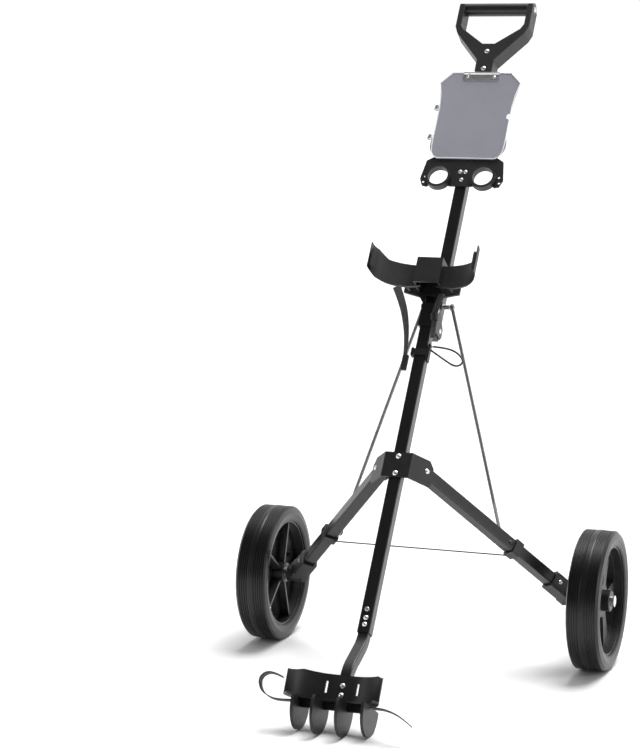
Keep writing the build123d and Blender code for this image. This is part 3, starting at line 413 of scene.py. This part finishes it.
STRAP_LEFT = [(-0.056, -0.046, 0.3355), (-0.038, -0.044, 0.302), (-0.028, -0.036, 0.268), (-0.023, -0.029, 0.238),
              (-0.022, -0.024, 0.212)]
STRAP_RIGHT = [(0.022, -0.0203, 0.338), (0.015, -0.023, 0.304), (0.0186, -0.019, 0.276), (0.018, -0.015, 0.252)]
BUNGEE = [(0.018, -0.004, 0.240), (0.038, 0.002, 0.242), (0.062, 0.004, 0.236), (0.080, 0.002, 0.216),
          (0.068, -0.002, 0.202), (0.044, -0.008, 0.214), (0.018, -0.010, 0.230)]
BASE_STRAP_LEFT = [(-0.084, -0.064, 0.026), (-0.104, -0.070, 0.034), (-0.122, -0.070, 0.022), (-0.120, -0.060, 0.002),
                   (-0.102, -0.050, -0.008), (-0.080, -0.042, -0.006), (-0.064, -0.040, -0.004)]
BASE_STRAP_RIGHT = [(0.064, -0.040, -0.004), (0.084, -0.048, -0.005), (0.104, -0.056, -0.010),
                    (0.124, -0.060, -0.018), (0.142, -0.058, -0.030)]

strap("strap_left", [mast(*p) for p in STRAP_LEFT], (0.015, 0.007), RIGHT)
strap("strap_right", [mast(*p) for p in STRAP_RIGHT], (0.012, 0.008), RIGHT)
strap("base_strap_left", [foot(*p) for p in BASE_STRAP_LEFT], (0.014, 0.014), FOOT_BACK)
strap("base_strap_right", [foot(*p) for p in BASE_STRAP_RIGHT], (0.013, 0.013), FOOT_BACK)

BUNGEE_D = 0.0035
loop = route("bungee_cord", [mast(*p) for p in BUNGEE])
loop_line = read_line(loop)
loop.data.bevel_depth = BUNGEE_D / 2
loop.data.bevel_resolution = 4
loop.data.materials.append(FINISH["elastic"])
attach(loop, "frame")
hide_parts("bungee")


# ---------------------------------------------------------------- cross cable, in two halves that meet in the middle, where the real cable folds
CABLE_R = 0.0012
CABLE_SIDES = 10
CABLE_STEPS = 48               # rings along each half
low, high = (Vector(c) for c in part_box("spreader_cable"))
cable_y = (low.y + high.y) / 2
cable_z = (low.z + high.z) / 2


def cable_half(name, end_x):
    """Half of the cable, straight from the middle to a leg's collar."""
    bm = bmesh.new()
    turns = [2 * pi * j / CABLE_SIDES for j in range(CABLE_SIDES)]
    rings = []
    for k in range(CABLE_STEPS + 1):
        x = end_x * k / CABLE_STEPS
        rings.append([bm.verts.new((x, cable_y + CABLE_R * cos(t), cable_z + CABLE_R * sin(t))) for t in turns])
    for a, b in zip(rings, rings[1:]):
        for j in range(CABLE_SIDES):
            after = (j + 1) % CABLE_SIDES
            bm.faces.new((a[j], a[after], b[after], b[j]))
    bm.faces.new(list(reversed(rings[0])))
    bm.faces.new(rings[-1])
    bmesh.ops.recalc_face_normals(bm, faces=bm.faces)
    obj = add_mesh(name, bm, FINISH["cable_steel"])
    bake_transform(obj)
    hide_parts("spreader_cable")


cable_half("cross_cable_left", low.x)
cable_half("cross_cable_right", high.x)


# ---------------------------------------------------------------- foam pads of the cradle
FOAM_VOXEL = 0.0016


def foam(name, node):
    """The CAD pads with soft, slightly crowned faces and rounded edges."""
    source = frame["nodes"][node]
    obj = bpy.data.objects.new(name, source.data.copy())
    bpy.context.scene.collection.objects.link(obj)
    obj.data.transform(source.matrix_world)
    remesh = obj.modifiers.new("remesh", "REMESH")
    remesh.mode = "VOXEL"
    remesh.voxel_size = FOAM_VOXEL
    smooth = obj.modifiers.new("smooth", "SMOOTH")
    smooth.factor = 0.6
    smooth.iterations = 6
    bpy.context.view_layer.update()
    shaped = bpy.data.meshes.new_from_object(obj.evaluated_get(bpy.context.evaluated_depsgraph_get()))
    obj.modifiers.clear()
    obj.data = shaped
    obj.data.materials.clear()
    obj.data.materials.append(FINISH["pad_foam"])
    for face in obj.data.polygons:
        face.use_smooth = True
    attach(obj, "frame")
    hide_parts(node)


foam("cradle_foam", "cradle_pads")

# ---------------------------------------------------------------- painted highlight along the rim of the score card cover
# depths behind the mast's centreline, as in the CAD part: handle tube, half of it, console plate, gap, cover
HANDLE_B, HALF_TUBE, TRAY_T, BOARD_GAP, BOARD_T = 0.033, 0.011, 0.003, 0.0002, 0.0025
BOARD_FACE = HANDLE_B - HALF_TUBE - TRAY_T - BOARD_GAP - BOARD_T
BOARD_MIDDLE = 0.740
RIM_INSET = (0.988, 0.990)     # across and along the board
RIM_R = 0.0011
RIM_PROUD = 0.0002
RIM = [(-0.058, 0.835), (0.058, 0.835), (0.079, 0.812), (0.0735, 0.785), (0.071, 0.757), (0.0708, 0.720),
       (0.071, 0.690), (0.0708, 0.672), (0.069, 0.657), (0.064, 0.648), (0.056, 0.644)]
RIM += [(-x, s) for x, s in reversed(RIM[2:])]


def edge_bead(name, points, radius, finish, body):
    """Round bead along a closed outline."""
    data = bpy.data.curves.new(name, "CURVE")
    data.dimensions = "3D"
    spline = data.splines.new("POLY")
    spline.points.add(len(points) - 1)
    for control, p in zip(spline.points, points):
        control.co = (*p, 1.0)
    spline.use_cyclic_u = True
    data.bevel_depth = radius
    data.bevel_resolution = 3
    obj = bpy.data.objects.new(name, data)
    bpy.context.scene.collection.objects.link(obj)
    obj.data.materials.append(finish)
    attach(obj, body)
    return obj


rim_line = [mast(x * RIM_INSET[0], BOARD_FACE - RIM_PROUD, BOARD_MIDDLE + (s - BOARD_MIDDLE) * RIM_INSET[1])
            for x, s in RIM]
# the outline follows the cover's real edge; the bead's white is a painted highlight for the light caught there
edge_bead("cover_rim_highlight", rim_line, RIM_R, painted_edge_highlight(), "handle")

# ---------------------------------------------------------------- floor and light
bm = bmesh.new()
FLOOR_SIDE, FLOOR_FRONT, FLOOR_BACK = 30.0, -12.0, 60.0
bm.faces.new([bm.verts.new((x, y, 0.0)) for x, y in ((-FLOOR_SIDE, FLOOR_FRONT), (FLOOR_SIDE, FLOOR_FRONT),
                                                     (FLOOR_SIDE, FLOOR_BACK), (-FLOOR_SIDE, FLOOR_BACK))])
paper = new_material("studio_paper", (0.92, 0.92, 0.92), 0.9)
grain(paper, ((40.0, 0.02, 0.001),))
floor = add_mesh("studio_floor", bm, paper)
FLOOR_DROP = 0.0002            # keeps the tyres' lowest line off the paper
floor.data.transform(Matrix.Translation((0.0, 0.0, -FLOOR_DROP)))

# the studio is bright behind and low, and dark above and in front, so that black paint stays black face on
world = bpy.data.worlds.new("studio")
world.use_nodes = True
tree = world.node_tree
ways = tree.nodes.new("ShaderNodeSeparateXYZ")
tree.links.new(tree.nodes.new("ShaderNodeTexCoord").outputs["Generated"], ways.inputs["Vector"])
depth = tree.nodes.new("ShaderNodeMapRange")
for socket, value in (("From Min", -0.25), ("From Max", 0.40), ("To Min", 0.10), ("To Max", 1.05)):
    depth.inputs[socket].default_value = value
tree.links.new(ways.outputs["Y"], depth.inputs["Value"])
tree.links.new(depth.outputs["Result"], tree.nodes["Background"].inputs["Strength"])
tree.nodes["Background"].inputs["Color"].default_value = (1.0, 1.0, 1.0, 1.0)
bpy.context.scene.world = world


def soft_light(name, place, target, size, power):
    """Rectangular lamp that faces its target."""
    data = bpy.data.lights.new(name, "AREA")
    data.shape = "RECTANGLE"
    data.size, data.size_y = size
    data.energy = power
    obj = bpy.data.objects.new(name, data)
    bpy.context.scene.collection.objects.link(obj)
    obj.location = place
    obj.rotation_euler = (Vector(target) - Vector(place)).to_track_quat("-Z", "Y").to_euler()


soft_light("key", (-3.4, -2.6, 1.5), (0, 0, 0.3), (0.9, 2.2), 26.0)
soft_light("side", (3.4, -0.4, 1.3), (0, 0, 0.5), (0.7, 2.4), 22.0)

sun = bpy.data.lights.new("overhead", "SUN")
sun.energy = 3.1
sun.angle = radians(38.0)
sun_obj = bpy.data.objects.new("overhead", sun)
bpy.context.scene.collection.objects.link(sun_obj)
sun_obj.rotation_euler = (radians(-16.0), radians(10.0), 0.0)

scene = bpy.context.scene
scene.view_settings.view_transform = "Standard"
scene.view_settings.look = "None"
